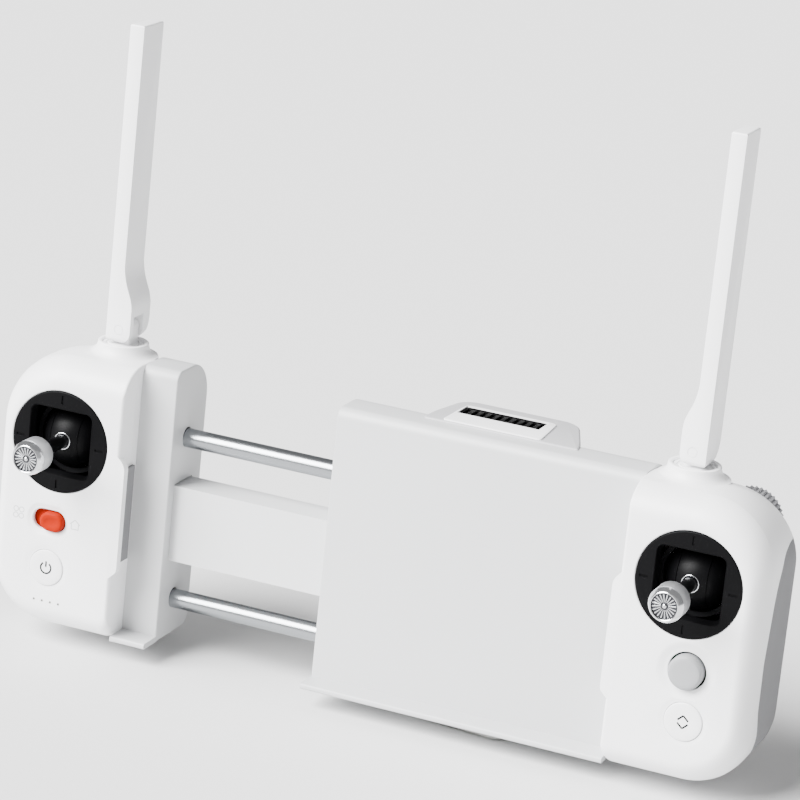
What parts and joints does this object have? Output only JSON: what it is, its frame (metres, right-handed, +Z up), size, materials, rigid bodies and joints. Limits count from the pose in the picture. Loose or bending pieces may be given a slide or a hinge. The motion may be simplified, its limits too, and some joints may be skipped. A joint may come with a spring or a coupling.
{
  "type": "handheld radio transmitter",
  "caption": "Handheld radio transmitter that clamps a phone between two grips, with hinged flat antennas, spring-centred sticks, buttons and dials.",
  "frame": {"origin": "centre of the footprint, on the surface that it stands on", "axes": "+X to the user's right, -Y towards the user, where the sticks point, +Z up along the antennas"},
  "size_m": [0.2454, 0.0684, 0.1941],
  "materials": {
    "shell": "fine matte moulded ABS, off-white",
    "rubber_pad": "matte grey overmoulded rubber",
    "bezel_black": "satin black moulded plastic",
    "gimbal_dark": "dark grey glass-filled nylon",
    "stick_metal": "dark grey anodised turned rod",
    "cap_metal": "bead-blasted aluminium with a polished rim",
    "dial_grey": "grey moulded plastic, diamond knurl",
    "steel": "plain ground steel",
    "board": "green solder mask over glass laminate",
    "pom": "natural acetal bushes",
    "liner_grey": "light grey moulded plastic",
    "hump_grey": "light grey matte moulded plastic",
    "scoop_grey": "mid grey matte moulded plastic",
    "grille_black": "black moulded grille",
    "heat_sink": "extruded aluminium, as cut",
    "cell_wrap": "blue shrink film over the cells",
    "slider_red": "orange-red satin moulded plastic",
    "light_lens": "milky light guides",
    "button_white": "matte white moulded plastic",
    "button_grey": "light grey moulded plastic, fine texture on top"
  },
  "bodies": {
    "main_body": {"right_front_shell": "shell", "right_rear_shell": "shell", "right_side_pad": "rubber_pad", "right_stick_bezel": "bezel_black", "right_gimbal_frame": "gimbal_dark", "right_dial_axle": "steel", "right_board": "board", "right_case_screws": "steel", "right_bay_pad": "rubber_pad", "bridge_shell": "shell", "rod_bushes": "pom", "clamp_springs": "steel", "main_board": "board", "hump_cover": "hump_grey", "vent_frame": "shell", "vent_grille": "grille_black", "heat_sink": "heat_sink", "lower_scoop": "scoop_grey", "usb_socket": "steel", "five_way_switch": "gimbal_dark"},
    "left_grip": {"left_front_shell": "shell", "left_rear_shell": "shell", "left_side_pad": "rubber_pad", "left_stick_bezel": "bezel_black", "left_gimbal_frame": "gimbal_dark", "left_dial_axle": "steel", "left_board": "board", "left_case_screws": "steel", "left_bay_pad": "rubber_pad", "left_sleeve": "shell", "guide_rods": "steel", "cable_tongue": "liner_grey", "battery_pack": "cell_wrap", "charge_lights": "light_lens"},
    "right_ring": {"right_gimbal_ring": "gimbal_dark"},
    "right_stick": {"right_stick_dome": "bezel_black", "right_stick_shaft": "stick_metal", "right_stick_cap": "cap_metal", "right_cap_insert": "cap_metal"},
    "right_dial": {"right_dial": "dial_grey"},
    "right_turret": {"right_antenna_turret": "shell", "right_antenna_pin": "steel"},
    "right_antenna": {"right_antenna_blade": "shell"},
    "left_ring": {"left_gimbal_ring": "gimbal_dark"},
    "left_stick": {"left_stick_dome": "bezel_black", "left_stick_shaft": "stick_metal", "left_stick_cap": "cap_metal", "left_cap_insert": "cap_metal"},
    "left_dial": {"left_dial": "dial_grey"},
    "left_turret": {"left_antenna_turret": "shell", "left_antenna_pin": "steel"},
    "left_antenna": {"left_antenna_blade": "shell"},
    "slider": {"mode_slider": "slider_red"},
    "power": {"power_button": "button_white"},
    "function": {"function_button": "button_white"},
    "plunger": {"five_way_plunger": "steel"},
    "cradle": {"five_way_cradle": "steel"},
    "five_way": {"five_way_cap": "button_grey"}
  },
  "joints": [
    {"name": "clamp_slide", "type": "slide", "parent": "main_body", "child": "left_grip", "axis": [1, 0, 0], "range_m": [-0.009, 0.04]},
    {"name": "right_stick_sideways", "type": "hinge", "parent": "main_body", "child": "right_ring", "pos_m": [0.1005, -0.0009, 0.0666], "axis": [0, 0, 1], "range_deg": [-25, 25], "stiffness_Nm_per_rad": 0.06},
    {"name": "right_stick_updown", "type": "hinge", "parent": "right_ring", "child": "right_stick", "pos_m": [0.1005, -0.0009, 0.0666], "axis": [1, 0, 0], "range_deg": [-25, 25], "stiffness_Nm_per_rad": 0.06},
    {"name": "right_dial_turn", "type": "hinge", "parent": "main_body", "child": "right_dial", "pos_m": [0.1064, 0.0233, 0.0784], "axis": [0, 1, 0], "range_deg": [-25, 25], "stiffness_Nm_per_rad": 0.02},
    {"name": "right_antenna_swivel", "type": "hinge", "parent": "main_body", "child": "right_turret", "pos_m": [0.092, 0.0088, 0.0955], "axis": [0, 0, 1], "range_deg": [-90, 90]},
    {"name": "right_antenna_fold", "type": "hinge", "parent": "right_turret", "child": "right_antenna", "pos_m": [0.092, 0.0108, 0.0998], "axis": [0, 1, 0], "range_deg": [-90, 0]},
    {"name": "left_stick_sideways", "type": "hinge", "parent": "left_grip", "child": "left_ring", "pos_m": [-0.1005, -0.0009, 0.0666], "axis": [0, 0, 1], "range_deg": [-25, 25], "stiffness_Nm_per_rad": 0.06},
    {"name": "left_stick_updown", "type": "hinge", "parent": "left_ring", "child": "left_stick", "pos_m": [-0.1005, -0.0009, 0.0666], "axis": [1, 0, 0], "range_deg": [-25, 25], "stiffness_Nm_per_rad": 0.06},
    {"name": "left_dial_turn", "type": "hinge", "parent": "left_grip", "child": "left_dial", "pos_m": [-0.1064, 0.0233, 0.0784], "axis": [0, 1, 0], "range_deg": [-25, 25], "stiffness_Nm_per_rad": 0.02},
    {"name": "left_antenna_swivel", "type": "hinge", "parent": "left_grip", "child": "left_turret", "pos_m": [-0.092, 0.0088, 0.0955], "axis": [0, 0, 1], "range_deg": [-90, 90]},
    {"name": "left_antenna_fold", "type": "hinge", "parent": "left_turret", "child": "left_antenna", "pos_m": [-0.092, 0.0108, 0.0998], "axis": [0, 1, 0], "range_deg": [0, 90]},
    {"name": "mode_slide", "type": "slide", "parent": "left_grip", "child": "slider", "axis": [1, 0, 0], "range_m": [-0.0028, 0]},
    {"name": "power_press", "type": "slide", "parent": "left_grip", "child": "power", "axis": [0, 1, 0], "range_m": [0, 0.0006], "stiffness_N_per_m": 800},
    {"name": "function_press", "type": "slide", "parent": "main_body", "child": "function", "axis": [0, 1, 0], "range_m": [0, 0.0006], "stiffness_N_per_m": 800},
    {"name": "five_way_press", "type": "slide", "parent": "main_body", "child": "plunger", "axis": [0, 1, 0], "range_m": [0, 0.0005], "stiffness_N_per_m": 800},
    {"name": "five_way_updown", "type": "hinge", "parent": "plunger", "child": "cradle", "pos_m": [0.1031, -0.0112, 0.041], "axis": [1, 0, 0], "range_deg": [-5, 5], "stiffness_Nm_per_rad": 0.05},
    {"name": "five_way_sideways", "type": "hinge", "parent": "cradle", "child": "five_way", "pos_m": [0.1031, -0.0112, 0.041], "axis": [0, 0, 1], "range_deg": [-5, 5], "stiffness_Nm_per_rad": 0.05}
  ]
}
